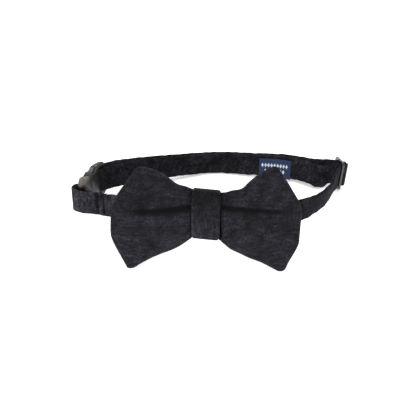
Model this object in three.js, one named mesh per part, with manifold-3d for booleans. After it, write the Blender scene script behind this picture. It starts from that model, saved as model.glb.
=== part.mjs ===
// A pet's bow tie collar: one long velvet strap with a side-release buckle and a three-bar slider,
// and a padded velvet bow held on the strap's front by a cloth band.
// Millimetres, +Z up. The collar stands on the bow's two lower corners and the back of its strap.
import * as THREE from "three";
import { mergeVertices } from "three/addons/utils/BufferGeometryUtils.js";
import Module from "manifold-3d";

const wasm = await Module();
wasm.setup();

// Neck loop, measured on the middle of the strap's plies
const loopHalfWidth = 90;
const loopDepth = 80;

// Strap
const strapWidth = 15;
const strapThickness = 2.4;
const pressedThickness = 1.2; // where a bar of the slider or the buckle squeezes the cloth
const clothGap = 0.3; // between two plies, and between cloth and what lies on it
const barGap = 0.4; // between cloth and a bar that it goes round
const outerPlyLift = 1.5; // how much higher the outer ply stands towards the buckle's socket
const foldSlack = 3; // how loosely that end goes round the buckle's bar
const foldBulge = 3.4; // and how far its outer ply stands off there
const foldBlend = 15; // how soon that ply comes down on the inner one
const sewnEndLength = 17.6; // the end folded back at the buckle, from the bar to its raw edge
const plyBlend = 9; // how soon two plies close up beside a bar
const sewnSliderEndDeg = 20; // where the other end's raw edge lies round the slider's middle bar
const strapRounding = 0.6; // of its edges, a share of half its thickness

// Facets
const routeStep = 4; // distance between two sections of the strap
const barStepDeg = 22; // turn between two sections that go round a bar
const cornerFacets = 5;
const bevelFacets = 2;
const barFacets = 16;
const crescentFacets = 8;

// Bow and the band round its middle
const bowHalfWidth = 58.5;
const bowHalfHeight = 35;
const bowPuff = 6.2; // from the wing's seam plane to the crown of its front
const bowBack = 2.8; // from the seam plane to the fullest place of its back
const seamThickness = 2.4; // of the wing along its outer edge
const wingFlare = 1.6; // how far the outer seams stand forward of the gathered middle
const gatherHeight = 27.6; // of the bow where the band gathers it
const gatherDepth = 5;
const bandWidth = 17.4;
const bandThickness = 2;
const bandSoftness = 0.9; // rounding of the band's edges
const bandInnerCorner = 1.2;
const bandOuterCorner = 2.4;
const bandCrown = 0.8; // how far the middle of its front stands out
const bandShoulder = 1.25; // how far in front of the gather's back its ends turn in
const bandTurnDeg = 1.4; // the band sits a little clockwise on the bow
const bandSlantDeg = 3; // its upper and lower ends slope down this much more towards the slider
const bandDrop = 1.5; // and its middle lies this far under the strap's

// Side-release buckle
const buckleLength = 38;
const buckleWidth = 21.4;
const buckleThickness = 7;
const buckleCrown = 1; // how far its middle bows outward from the line of its bars
const buckleBar = 2.4;
const socketLength = 24;
const buckleWall = 1.4;
const latchPlay = 0.4; // between the prongs and the socket
const slotPlay = 0.6; // beside the cloth in the slots of the buckle and the slider
const armWidth = 3;
const windowLength = 8.4;
const windowFromMouth = 3.4;
const guideFromFloor = 9; // between the guide's tip and the floor of the socket
const armRoot = 1; // how deep the arms and the guide are let into the shoulder

// Three-bar slider
const sliderBar = 1.8;
const sliderRail = 2;
const sliderSoftness = 0.45;
const looseRise = 1.7; // how far the strap stands off the sewn end that it crosses there
const looseThickness = 2;

// Woven label on the inner face
const labelLength = 22;
const labelHeight = 13;
const labelDrop = 0.8; // of its middle, under the strap's
const labelTurnDeg = 2.4; // it is sewn on a little askew
const labelThickness = 0.6;
const labelRounding = 0.3; // of its edges, a share of half its thickness
const labelFromSlider = 28; // along the strap, from the slider's far bar to the label's near edge

// The strap's way between the hardware, anticlockwise from above, in shares of the loop's
// half width and depth from the knot. Lean is how far its top edge tips outward.
const frontWay = [
  { across: -0.8, back: 0.115, leanDeg: 8 },
  { across: -0.672, back: 0.04, leanDeg: 1 },
  { across: -0.333, back: 0.032, leanDeg: 0 },
  { across: 0, back: 0, leanDeg: 0, knot: true },
  { across: 0.333, back: -0.018, leanDeg: 1 },
  { across: 0.611, back: -0.038, leanDeg: 7 },
  { across: 0.76, back: 0.103, leanDeg: 15 },
  { across: 0.856, back: 0.275, leanDeg: 15 },
  { across: 0.917, back: 0.469, leanDeg: 10 },
];
const backWay = [
  { across: 0.833, back: 0.815, leanDeg: 21 },
  { across: 0.611, back: 0.928, leanDeg: 15 },
  { across: 0.356, back: 0.967, leanDeg: 2 },
  { across: 0.067, back: 1.005, leanDeg: -11 },
  { across: -0.2, back: 0.94, leanDeg: -8 },
  { across: -0.478, back: 0.833, leanDeg: 8 },
  { across: -0.689, back: 0.731, leanDeg: 23 },
];
// Where the middles of the slider and the buckle sit on the loop, and which way they point
const sliderPlace = { across: 0.992, back: 0.743, headingDeg: 103, leanDeg: 7 };
const bucklePlace = { across: -0.843, back: 0.441, headingDeg: 258, leanDeg: 1 };

// The wings, a row for each section from the band to the outer seam. A section runs from its foot
// over its middle to its top. Reaches are shares of the bow's half width, heights of its half
// height, and puff and crease are shares of its fullness and of the pleat's full depth.
const leftWing = [
  { topReach: 0.172, top: 0.43, midReach: 0.172, footReach: 0.172, foot: -0.53, puff: 0.5, crease: 0.9 },
  { topReach: 0.27, top: 0.49, midReach: 0.28, footReach: 0.25, foot: -0.65, puff: 0.78, crease: 1 },
  { topReach: 0.4, top: 0.64, midReach: 0.45, footReach: 0.41, foot: -0.79, puff: 1, crease: 0.8 },
  { topReach: 0.5, top: 0.74, midReach: 0.65, footReach: 0.58, foot: -0.93, puff: 0.95, crease: 0.6 },
  { topReach: 0.6, top: 0.79, midReach: 0.85, footReach: 0.74, foot: -1.065, puff: 0.66, crease: 0.4 },
  { topReach: 0.68, top: 0.8, midReach: 1, footReach: 0.84, foot: -1.15, puff: 0.14, crease: 0.1 },
];
const rightWing = [
  { topReach: 0.172, top: 0.38, midReach: 0.172, footReach: 0.172, foot: -0.61, puff: 0.5, crease: 0.9 },
  { topReach: 0.27, top: 0.42, midReach: 0.28, footReach: 0.26, foot: -0.74, puff: 0.78, crease: 1 },
  { topReach: 0.42, top: 0.53, midReach: 0.46, footReach: 0.42, foot: -0.85, puff: 1, crease: 0.8 },
  { topReach: 0.52, top: 0.71, midReach: 0.66, footReach: 0.58, foot: -0.97, puff: 0.95, crease: 0.6 },
  { topReach: 0.6, top: 0.84, midReach: 0.86, footReach: 0.71, foot: -1.07, puff: 0.66, crease: 0.4 },
  { topReach: 0.69, top: 0.86, midReach: 0.98, footReach: 0.8, foot: -1.12, puff: 0.14, crease: 0.1 },
];
const wingShoulder = 0.045; // how much the upper half of a wing's side stands out and the lower half in
const pleatHeight = 0.3; // of the pleat, in shares from the section's middle to its top
const pleatSpread = 0.2;
const pleatDepth = 0.5; // share of the fullness that the pleat takes away
const wingRoundness = 0.8; // how full a section swells: 1 is an oval, less is boxier
const wingSideCount = 12; // facets over the front of a wing's section, and as many on its back

// Velvet, plastic and woven tape
const velvet = new THREE.MeshStandardMaterial({ color: 0x1d1c20, roughness: 0.95 });
const velvetBow = new THREE.MeshStandardMaterial({ color: 0x1f1e22, roughness: 0.95 });
const velvetBand = new THREE.MeshStandardMaterial({ color: 0x1b1a1e, roughness: 0.95 });
const plastic = new THREE.MeshStandardMaterial({ color: 0x131315, roughness: 0.3 });
const plasticProng = new THREE.MeshStandardMaterial({ color: 0x161618, roughness: 0.3 });
const sliderFinish = new THREE.MeshStandardMaterial({ color: 0x242426, roughness: 0.25 });
const navyTape = new THREE.MeshStandardMaterial({ color: 0x24324f, roughness: 0.8 });

const radians = THREE.MathUtils.degToRad;
const worldUp = new THREE.Vector3(0, 0, 1);
const ease = (x) => THREE.MathUtils.smoothstep(x, 0, 1);
const mix = THREE.MathUtils.lerp;

// The collar's axes at one place: along the strap, outward from the neck, and up its width.
function axesFor(position, along, up) {
  const out = new THREE.Vector3().crossVectors(along, up).normalize();
  const at = (a, n, z = 0) =>
    position.clone().addScaledVector(along, a).addScaledVector(out, n).addScaledVector(up, z);
  return { position, along, up, out, at };
}

function leaningUp(along, leanDeg) {
  const out = new THREE.Vector3().crossVectors(along, worldUp).normalize();
  return worldUp.clone().multiplyScalar(Math.cos(radians(leanDeg)))
    .addScaledVector(out, Math.sin(radians(leanDeg)));
}

function hardwareAxes({ across, back, headingDeg, leanDeg }) {
  const along = new THREE.Vector3(Math.cos(radians(headingDeg)), Math.sin(radians(headingDeg)), 0);
  const middle = new THREE.Vector3(across * loopHalfWidth, back * loopDepth, 0);
  return axesFor(middle, along, leaningUp(along, leanDeg));
}

// Fits of the cloth round the bars: each is the distance from a bar's middle to the ply's middle
const slimPly = pressedThickness / 2;
const sliderWrap = sliderBar / 2 + barGap + slimPly;
const sliderOverWrap = sliderWrap + pressedThickness + clothGap;
const buckleWrap = buckleBar / 2 + barGap + slimPly;
const sliderPitch = sliderWrap + sliderOverWrap + slotPlay;
const bucklePitch = buckleLength - buckleBar;
const slimPair = (pressedThickness + clothGap) / 2;
const fullPair = (strapThickness + clothGap) / 2;

const slider = hardwareAxes(sliderPlace);
const buckle = hardwareAxes(bucklePlace);
const socketBar = buckle.at(-bucklePitch / 2, 0);
const prongBar = buckle.at(bucklePitch / 2, 0);

// A stretch of the loop as stations every few millimetres, with the distance s from its start.
function stretch(first, way, last) {
  const spots = way.map((row) => new THREE.Vector3(row.across * loopHalfWidth, row.back * loopDepth, 0));
  const curve = new THREE.CatmullRomCurve3([first.point, ...spots, last.point], false, "centripetal");
  const spans = spots.length + 1;
  const ups = way.map((row, i) => leaningUp(curve.getTangent((i + 1) / spans), row.leanDeg));
  const allUps = [first.up, ...ups, last.up];
  const stations = [];
  let s = 0;
  for (let i = 0; i < spans; i++) {
    const steps = Math.ceil(curve.points[i].distanceTo(curve.points[i + 1]) / routeStep);
    for (let j = i ? 1 : 0; j <= steps; j++) {
      const t = (i + j / steps) / spans;
      const position = curve.getPoint(t);
      const up = allUps[i].clone().lerp(allUps[i + 1], ease(j / steps)).normalize();
      if (stations.length) s += position.distanceTo(stations.at(-1).position);
      stations.push({ ...axesFor(position, curve.getTangent(t), up), s });
    }
  }
  return { stations, length: s, spot: (row) => stations.find((o) => o.position.equals(spots[row])) };
}

const farBarPlies = slider.at(sliderPitch, -sliderWrap - slimPair);
const nearBarPly = slider.at(-sliderPitch, -sliderWrap);
const backStretch = stretch(
  { point: farBarPlies, up: slider.up }, backWay, { point: socketBar, up: buckle.up });
const frontStretch = stretch(
  { point: prongBar, up: buckle.up }, frontWay, { point: nearBarPly, up: slider.up });
const knot = frontStretch.spot(frontWay.findIndex((row) => row.knot));

// One section of the strap, as a row of the sweep.
const ply = (axes, a, n, z, thickness) => ({ middle: axes.at(a, n, z), up: axes.up, thickness });

// Rows round a bar, from one angle to another: 0 is along the strap, 90 is outward.
function roundBar(axes, a, radius, fromDeg, toDeg, slack = 0, bulge = 0) {
  const steps = Math.ceil(Math.abs(toDeg - fromDeg) / barStepDeg);
  return Array.from({ length: steps + 1 }, (_, i) => {
    const angle = radians(mix(fromDeg, toDeg, i / steps));
    const outward = (radius + (Math.sin(angle) > 0 ? bulge : 0)) * Math.sin(angle);
    return ply(axes, a + (radius + slack) * Math.cos(angle), outward, 0, pressedThickness);
  });
}

// The loose arch of strap over the slider's middle bar, thickest at its crown.
function looseArch(climbDeg) {
  const steps = Math.ceil(2 * climbDeg / barStepDeg);
  return Array.from({ length: steps + 1 }, (_, i) => {
    const angle = radians(mix(90 - climbDeg, 90 + climbDeg, i / steps));
    const crown = Math.sin(Math.PI * i / steps);
    const rise = (sliderOverWrap + looseRise) * Math.sin(angle);
    return ply(slider, sliderOverWrap * Math.cos(angle), rise, 0,
      mix(pressedThickness, looseThickness, crown));
  });
}

// The two plies of the back: how far each lies from the loop's middle line, and how thick it is.
function backPly(station, side) {
  const fromSlider = ease(station.s / plyBlend);
  const fromSocket = ease((backStretch.length - station.s) / plyBlend);
  const n = mix(buckleWrap, mix(slimPair, fullPair, fromSlider), fromSocket);
  const thickness = mix(pressedThickness, strapThickness, Math.min(fromSlider, fromSocket));
  const lift = side > 0 ? outerPlyLift * fromSocket * ease(2 * station.s / backStretch.length - 1) : 0;
  return ply(station, 0, side * n, lift, thickness);
}

// The front of the strap: two plies beside the buckle's prong bar, one from the raw edge on.
function frontPly(station, side) {
  const fromBar = ease(station.s / plyBlend);
  const fromSlider = ease((frontStretch.length - station.s) / plyBlend);
  const single = side < 0 ? ease((station.s - sewnEndLength) / plyBlend) : 0;
  const looseFold = side > 0 ? foldBulge * (1 - ease(station.s / foldBlend)) : 0;
  const n = mix(mix(buckleWrap, fullPair, fromBar) + looseFold, 0, single);
  const thickness = mix(pressedThickness, strapThickness, Math.min(fromBar, fromSlider));
  return ply(station, 0, side * n, 0, thickness);
}

// The whole strap in one way: sewn round the slider's middle bar, along the back inside, round the
// socket's bar, along the back outside, woven through the slider, along the front behind the bow,
// and folded round the prong bar to its raw edge.
function strapRows() {
  const barClear = routeStep / 3;
  const clearOf = (s, length) => s > barClear && s < length - barClear;
  const back = backStretch.stations.filter((o) => clearOf(o.s, backStretch.length));
  const front = frontStretch.stations.filter((o) => clearOf(o.s, frontStretch.length));
  const climbDeg = THREE.MathUtils.radToDeg(Math.asin((sliderWrap + sliderOverWrap) / sliderPitch));
  const socketEnd = { ...backStretch.stations.at(-1), up: buckle.up };
  const prongEnd = { ...frontStretch.stations[0], up: buckle.up };
  return [
    ...roundBar(slider, 0, sliderWrap, sewnSliderEndDeg, 270),
    ply(slider, sliderPitch, -sliderWrap - 2 * slimPair, 0, pressedThickness),
    ...back.map((o) => backPly(o, -1)),
    ...roundBar(socketEnd, 0, buckleWrap, -90, 90),
    ...back.toReversed().map((o) => backPly(o, 1)),
    ...roundBar(slider, sliderPitch, sliderWrap, 270, 270 - climbDeg),
    ...looseArch(climbDeg),
    ...roundBar(slider, -sliderPitch, sliderWrap, 270 + climbDeg, 270),
    ...front.toReversed().map((o) => frontPly(o, -1)),
    ...roundBar(prongEnd, 0, buckleWrap, 270, 90, foldSlack, foldBulge),
    ...front.filter((o) => o.s < sewnEndLength).map((o) => frontPly(o, 1)),
  ];
}

// A closed body swept through rows: each has its middle, its up axis and its thickness.
function sweep(rows, width, rounding) {
  const outline = (thickness) => {
    const h = width / 2, t = thickness / 2, e = t * rounding;
    return [[h, -t + e], [h, t - e], [h - e, t], [0, t], [e - h, t],
      [-h, t - e], [-h, e - t], [e - h, -t], [0, -t], [h - e, -t]];
  };
  const rings = rows.map((row, i) => {
    const before = rows[Math.max(i - 1, 0)].middle;
    const after = rows[Math.min(i + 1, rows.length - 1)].middle;
    const side = new THREE.Vector3().subVectors(after, before).cross(row.up).normalize();
    return outline(row.thickness).map(([z, n]) =>
      row.middle.clone().addScaledVector(row.up, z).addScaledVector(side, n));
  });
  return bodyFromRings(rings, (ring, sign) => fan(ring.length, sign));
}

// Triangles that close a ring from its first corner.
function fan(count, sign) {
  const faces = [];
  for (let i = 1; i < count - 1; i++) faces.push(sign > 0 ? [0, i, i + 1] : [0, i + 1, i]);
  return faces;
}

// Triangles that close a thin ring straight across, front to back.
function zip(count, sign) {
  const faces = [];
  for (let i = 1; i < count / 2; i++) {
    const a = i - 1, b = i, c = count - i, d = (count - i + 1) % count;
    if (a !== d) faces.push(sign > 0 ? [a, b, d] : [a, d, b]);
    faces.push(sign > 0 ? [b, c, d] : [b, d, c]);
  }
  const half = count / 2;
  faces.push(sign > 0 ? [half - 1, half, half + 1] : [half - 1, half + 1, half]);
  return faces;
}

// A closed body from rings of equal length, capped at both ends.
function bodyFromRings(rings, cap) {
  const count = rings[0].length;
  const faces = [];
  for (let i = 0; i < rings.length - 1; i++)
    for (let j = 0; j < count; j++) {
      const a = i * count + j, b = i * count + ((j + 1) % count);
      faces.push([a, b, a + count], [b, b + count, a + count]);
    }
  const last = (rings.length - 1) * count;
  faces.push(...cap(rings[0], -1));
  faces.push(...cap(rings.at(-1), 1).map((face) => face.map((k) => k + last)));
  const geometry = new THREE.BufferGeometry().setFromPoints(rings.flat());
  geometry.setIndex(faces.flat());
  if (signedVolume(geometry) < 0) geometry.setIndex(faces.map((face) => face.toReversed()).flat());
  geometry.computeVertexNormals();
  return geometry;
}

function signedVolume(geometry) {
  const position = geometry.getAttribute("position");
  const [a, b, c] = [new THREE.Vector3(), new THREE.Vector3(), new THREE.Vector3()];
  let volume = 0;
  for (let i = 0; i < geometry.index.count; i += 3) {
    [a, b, c].forEach((v, k) => v.fromBufferAttribute(position, geometry.index.getX(i + k)));
    volume += a.dot(b.cross(c)) / 6;
  }
  return volume;
}

function solidOf(geometry) {
  const bare = geometry.clone();
  bare.deleteAttribute("normal");
  bare.deleteAttribute("uv");
  const merged = mergeVertices(bare, 1e-4);
  return new wasm.Manifold(new wasm.Mesh({
    numProp: 3,
    vertProperties: merged.getAttribute("position").array,
    triVerts: new Uint32Array(merged.index.array),
  }));
}

function geometryOf(solid) {
  const mesh = solid.getMesh();
  const geometry = new THREE.BufferGeometry();
  geometry.setAttribute("position", new THREE.BufferAttribute(mesh.vertProperties, 3));
  geometry.setIndex(new THREE.BufferAttribute(mesh.triVerts, 1));
  geometry.computeVertexNormals();
  return geometry;
}

// Hardware is drawn in its own axes: x along the strap, y inward to the neck, z up its width.
function placed(mesh, axes) {
  const inward = axes.out.clone().negate();
  mesh.quaternion.setFromRotationMatrix(new THREE.Matrix4().makeBasis(axes.along, inward, axes.up));
  mesh.position.copy(axes.position);
  return mesh;
}

function named(name, geometry, material) {
  const mesh = new THREE.Mesh(geometry, material);
  mesh.name = name;
  return mesh;
}

function box(x0, x1, y0, y1, z0, z1) {
  return solidOf(new THREE.BoxGeometry(x1 - x0, y1 - y0, z1 - z0)
    .translate((x0 + x1) / 2, (y0 + y1) / 2, (z0 + z1) / 2));
}

function roundedRect(path, x0, x1, y0, y1, r) {
  path.moveTo(x0 + r, y0);
  path.lineTo(x1 - r, y0);
  path.absarc(x1 - r, y0 + r, r, -Math.PI / 2, 0, false);
  path.lineTo(x1, y1 - r);
  path.absarc(x1 - r, y1 - r, r, 0, Math.PI / 2, false);
  path.lineTo(x0 + r, y1);
  path.absarc(x0 + r, y1 - r, r, Math.PI / 2, Math.PI, false);
  path.lineTo(x0, y0 + r);
  path.absarc(x0 + r, y0 + r, r, Math.PI, 1.5 * Math.PI, false);
  return path;
}

// An outline in x and z made into a plate from y0 to y1.
function plateAcross(shape, y0, y1) {
  const options = { depth: y1 - y0, bevelEnabled: false, curveSegments: cornerFacets };
  return solidOf(new THREE.ExtrudeGeometry(shape, options)
    .rotateX(Math.PI / 2).translate(0, y1, 0));
}

// The bow: sections from the left outer seam through the gathered middle to the right outer seam.
function bow() {
  const strapClear = strapThickness / 2 + clothGap;
  const seamPlane = strapClear + bowBack;
  const point = (x, n, z) => knot.at(x, n, z);
  const sideAngles = Array.from({ length: 2 * wingSideCount }, (_, i) => (Math.PI * i) / wingSideCount);

  function wingSection(row, side) {
    const foot = row.foot * bowHalfHeight, top = row.top * bowHalfHeight;
    const share = (v) => {
      const lean = (row.topReach - row.footReach) / 2;
      const bend = (row.topReach + row.footReach) / 2 - row.midReach;
      return row.midReach * (1 + wingShoulder * v * (1 - v * v)) + lean * v + bend * v * v;
    };
    return sideAngles.map((angle) => {
      const v = -Math.cos(angle), swell = Math.sin(angle);
      const fold = Math.exp(-(((v - pleatHeight) / pleatSpread) ** 2));
      const front = mix(seamThickness / 2, bowPuff * (1 - pleatDepth * row.crease * fold), row.puff);
      const back = mix(seamThickness / 2, bowBack, row.puff);
      const fullness = Math.abs(swell) ** wingRoundness * (swell > 0 ? front : -back);
      const n = seamPlane + wingFlare * share(v) ** 2 + fullness;
      return point(side * share(v) * bowHalfWidth, n, mix(foot, top, (v + 1) / 2));
    });
  }

  // Where the band holds it the bow is an oval gather of cloth, which follows the band's turn.
  function gatherSection(x) {
    const middle = -bandDrop - x * Math.tan(radians(bandTurnDeg + bandSlantDeg));
    return sideAngles.map((angle) => {
      const n = strapClear + gatherDepth / 2 * (1 + Math.sin(angle));
      return point(x, n, middle - gatherHeight / 2 * Math.cos(angle));
    });
  }

  const gatherReach = bandWidth / 2 + (gatherHeight / 2 + bandThickness) * Math.sin(radians(bandTurnDeg));
  const sections = [
    ...leftWing.toReversed().map((row) => wingSection(row, -1)),
    gatherSection(-gatherReach), gatherSection(0), gatherSection(gatherReach),
    ...rightWing.map((row) => wingSection(row, 1)),
  ];
  const body = bodyFromRings(softened(sections), (ring, sign) => zip(ring.length, sign));
  return named("bow", body, velvetBow);
}

// Rings put between the given ones on smooth curves, two in each span.
function softened(rings) {
  const curves = rings[0].map((_, j) =>
    new THREE.CatmullRomCurve3(rings.map((ring) => ring[j]), false, "centripetal"));
  const count = 2 * (rings.length - 1);
  return Array.from({ length: count + 1 }, (_, i) => curves.map((curve) => curve.getPoint(i / count)));
}

// The band: a cloth ring round the gathered bow and the strap behind it.
function knotBand() {
  const backFace = -(strapThickness / 2 + clothGap);
  const gatherBack = strapThickness / 2 + clothGap;
  const frontFace = gatherBack + gatherDepth + clothGap;
  const slant = Math.tan(radians(bandSlantDeg));
  const backHalf = strapWidth / 2 + bandDrop + clothGap + bandWidth / 2 * slant;
  const frontHalf = gatherHeight / 2 + clothGap;
  const shoulder = gatherBack + bandShoulder;

  // An outline in outward and up, wider at the front, with a softly crowned front.
  function outline(path, grow) {
    const crown = mix(0, bandCrown, grow / bandThickness);
    const corner = mix(bandInnerCorner, bandOuterCorner, grow / bandThickness);
    const front = frontFace + grow, back = backFace - grow;
    const high = frontHalf + grow, low = backHalf + grow;
    path.moveTo(back, -low + corner / 2);
    path.quadraticCurveTo(back, -low, back + corner / 2, -low - corner / 3);
    path.lineTo(shoulder - corner / 2, -high + corner / 3);
    path.quadraticCurveTo(shoulder, -high, shoulder + corner / 2, -high);
    path.lineTo(front - corner, -high);
    path.quadraticCurveTo(front, -high, front, -high + corner);
    path.quadraticCurveTo(front + crown, 0, front, high - corner);
    path.quadraticCurveTo(front, high, front - corner, high);
    path.lineTo(shoulder + corner / 2, high);
    path.quadraticCurveTo(shoulder, high, shoulder - corner / 2, high - corner / 3);
    path.lineTo(back + corner / 2, low + corner / 3);
    path.quadraticCurveTo(back, low, back, low - corner / 2);
    path.closePath();
    return path;
  }
  const turned = new THREE.Matrix4().makeBasis(
    new THREE.Vector3(0, -1, 0), new THREE.Vector3(0, 0, 1), new THREE.Vector3(-1, 0, slant));
  const sleeve = new THREE.ExtrudeGeometry(outline(new THREE.Shape(), bandThickness), {
    depth: bandWidth - 2 * bandSoftness, bevelSize: bandSoftness, bevelThickness: bandSoftness,
    bevelOffset: -bandSoftness, bevelSegments: bevelFacets, curveSegments: cornerFacets })
    .translate(0, 0, bandSoftness - bandWidth / 2).applyMatrix4(turned);
  const hollow = new THREE.ExtrudeGeometry(outline(new THREE.Shape(), 0), {
    depth: 2 * bandWidth, bevelEnabled: false, curveSegments: cornerFacets })
    .translate(0, 0, -bandWidth).applyMatrix4(turned);
  const ring = geometryOf(solidOf(sleeve).subtract(solidOf(hollow)));
  const band = placed(named("knot_band", ring, velvetBand), knot);
  band.position.addScaledVector(knot.up, -bandDrop);
  return band.rotateY(radians(bandTurnDeg));
}

// The slider: a rounded frame with a bar at each end and one across its middle.
function sliderMesh() {
  const slotHalf = strapWidth / 2 + slotPlay;
  const endReach = sliderPitch + sliderBar / 2, railReach = slotHalf + sliderRail;
  const shape = roundedRect(new THREE.Shape(), -endReach, endReach, -railReach, railReach, sliderRail);
  for (const side of [-1, 1]) {
    const middleX = side * sliderPitch / 2, reach = (sliderPitch - sliderBar) / 2;
    shape.holes.push(roundedRect(
      new THREE.Path(), middleX - reach, middleX + reach, -slotHalf, slotHalf, sliderSoftness));
  }
  const geometry = new THREE.ExtrudeGeometry(shape, {
    depth: sliderBar - 2 * sliderSoftness, bevelSize: sliderSoftness, bevelThickness: sliderSoftness,
    bevelOffset: -sliderSoftness, bevelSegments: bevelFacets, curveSegments: cornerFacets });
  geometry.translate(0, 0, sliderSoftness - sliderBar / 2).rotateX(Math.PI / 2);
  return placed(named("slider", geometryOf(solidOf(geometry)), sliderFinish), slider);
}

// Shared lengths of the buckle, along the strap from its middle: the socket is on the low side
const socketEndX = -buckleLength / 2;
const prongEndX = buckleLength / 2;
const mouthX = socketEndX + socketLength;
const shoulderX = mouthX + latchPlay;
const slotReach = buckleWrap + slimPly + slotPlay;
const socketSlotX = -bucklePitch / 2 + slotReach;
const prongSlotX = bucklePitch / 2 - slotReach - foldSlack;
const slotHalfWidth = strapWidth / 2 + slotPlay;
const cavityDepth = buckleThickness - 2 * buckleWall;
const cavityY = [-cavityDepth / 2 - buckleCrown, cavityDepth / 2 - buckleCrown];
const cavityHalf = buckleWidth / 2 - buckleWall;
const cavityFloorX = socketSlotX + buckleWall;
const windowFarX = mouthX - windowFromMouth;
const windowNearX = windowFarX - windowLength;
const past = buckleThickness + buckleCrown; // a reach beyond every face of the buckle

// The buckle seen from above: a slim crescent, thin at its bars and full in its middle.
function buckleCrescent() {
  const tip = buckleBar / 2, middle = buckleThickness / 2;
  const fullHalf = buckleLength / 4;
  const shape = new THREE.Shape();
  shape.moveTo(socketEndX, -tip);
  shape.quadraticCurveTo(-fullHalf, -middle - buckleCrown, 0, -middle - buckleCrown);
  shape.quadraticCurveTo(fullHalf, -middle - buckleCrown, prongEndX, -tip);
  shape.lineTo(prongEndX, tip);
  shape.quadraticCurveTo(fullHalf, middle - buckleCrown, 0, middle - buckleCrown);
  shape.quadraticCurveTo(-fullHalf, middle - buckleCrown, socketEndX, tip);
  shape.closePath();
  const options = { depth: buckleWidth, bevelEnabled: false, curveSegments: crescentFacets };
  return solidOf(new THREE.ExtrudeGeometry(shape, options).translate(0, 0, -buckleWidth / 2));
}

// The round bar that the strap goes round, let into both rails.
function strapBar(x) {
  const length = buckleWidth - 2 * buckleWall;
  return solidOf(new THREE.CylinderGeometry(buckleBar / 2, buckleBar / 2, length, barFacets)
    .rotateX(Math.PI / 2).translate(x, 0, 0));
}

// The socket: a hollow shell, open at its mouth and at the two side windows, with the strap's slot.
function socketMesh() {
  const half = buckleWidth / 2;
  const face = roundedRect(new THREE.Shape(), socketEndX, mouthX, -half, half, buckleBar);
  const socket = buckleCrescent()
    .intersect(plateAcross(face, -past, past))
    .subtract(box(socketEndX - past, socketSlotX, -past, past, -slotHalfWidth, slotHalfWidth))
    .add(strapBar(-bucklePitch / 2))
    .subtract(box(cavityFloorX, mouthX + past, ...cavityY, -cavityHalf, cavityHalf))
    .subtract(box(windowNearX, windowFarX, ...cavityY, -buckleWidth, buckleWidth));
  return placed(named("buckle_socket", geometryOf(socket), plastic), buckle);
}

// The prong half: the strap's bar and slot, a shoulder, two springy arms and a guide between them.
function prongMesh() {
  const half = buckleWidth / 2 - latchPlay;
  const face = roundedRect(new THREE.Shape(), shoulderX, prongEndX, -half, half, buckleBar);
  const [y0, y1] = [cavityY[0] + latchPlay, cavityY[1] - latchPlay];
  const armOuter = cavityHalf - latchPlay, rootX = shoulderX + armRoot;
  let prong = buckleCrescent()
    .intersect(plateAcross(face, -past, past))
    .subtract(box(prongSlotX, prongEndX + past, -past, past, -slotHalfWidth, slotHalfWidth))
    .add(strapBar(bucklePitch / 2));
  for (const side of [-1, 1]) {
    const zs = (a, b) => [side * a, side * b].sort((p, q) => p - q);
    prong = prong
      .add(box(cavityFloorX + latchPlay, rootX, y0, y1, ...zs(armOuter - armWidth, armOuter)))
      .add(box(windowNearX + latchPlay, windowFarX - latchPlay, y0, y1, ...zs(armOuter - armWidth, half)));
  }
  prong = prong.add(box(cavityFloorX + guideFromFloor, rootX, y0, y1, -armWidth / 2, armWidth / 2));
  return placed(named("buckle_prong", geometryOf(prong), plasticProng), buckle);
}

// The axes of a stretch at a distance from its start, between its two nearest stations.
function axesAt({ stations }, s) {
  const next = Math.max(stations.findIndex((o) => o.s >= s), 1);
  const [a, b] = [stations[next - 1], stations[next]];
  const share = (s - a.s) / (b.s - a.s);
  const between = (key) => a[key].clone().lerp(b[key], share);
  return axesFor(between("position"), between("along").normalize(), between("up").normalize());
}

// The label lies on the inner ply's inner face.
function labelMesh() {
  const depth = -(fullPair + strapThickness / 2 + clothGap + labelThickness / 2);
  const steps = Math.ceil(labelLength / routeStep);
  const rows = Array.from({ length: steps + 1 }, (_, i) => {
    const s = labelLength * i / steps;
    const drop = labelDrop + (labelLength / 2 - s) * Math.tan(radians(labelTurnDeg));
    return ply(axesAt(backStretch, labelFromSlider + s), 0, depth, -drop, labelThickness);
  });
  return named("woven_label", sweep(rows, labelHeight, labelRounding), navyTape);
}

const strap = named("collar_strap", sweep(strapRows(), strapWidth, strapRounding), velvet);
const bowMesh = bow();
const collar = new THREE.Group();
collar.add(strap, bowMesh, knotBand(), socketMesh(), prongMesh(), sliderMesh(), labelMesh());

// The lowest point of a mesh once turned, among the points on the wanted side of the collar.
function lowestPoint(mesh, turn, wanted) {
  const position = mesh.geometry.getAttribute("position");
  const points = Array.from({ length: position.count }, (_, i) =>
    new THREE.Vector3().fromBufferAttribute(position, i)).filter(wanted);
  const height = (p) => p.clone().applyQuaternion(turn).z;
  return points.reduce((low, p) => (height(p) < height(low) ? p : low));
}

// The turn that lets both lower corners of the bow and the back of the strap touch one level.
function restingTurn() {
  const turn = new THREE.Quaternion();
  for (let i = 0; i < 8; i++) {
    const left = lowestPoint(bowMesh, turn, (p) => p.x < 0);
    const right = lowestPoint(bowMesh, turn, (p) => p.x > 0);
    const rear = lowestPoint(strap, turn, (p) => p.y > loopDepth / 2);
    const level = right.clone().sub(left).cross(rear.clone().sub(left)).normalize();
    turn.setFromUnitVectors(level, worldUp);
  }
  return turn;
}

collar.quaternion.copy(restingTurn());
const extent = new THREE.Box3().setFromObject(collar, true);
const middle = extent.getCenter(new THREE.Vector3());
collar.position.set(-middle.x, -middle.y, -extent.min.z);

const group = new THREE.Group();
group.add(collar);
export default group;
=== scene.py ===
"""A pet's bow tie collar: a velvet strap with a side-release buckle, a three-bar slider and a woven
label, and on its front a padded velvet bow with its band."""

import bpy
import bmesh
import numpy as np
from mathutils import Matrix, Vector


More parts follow.
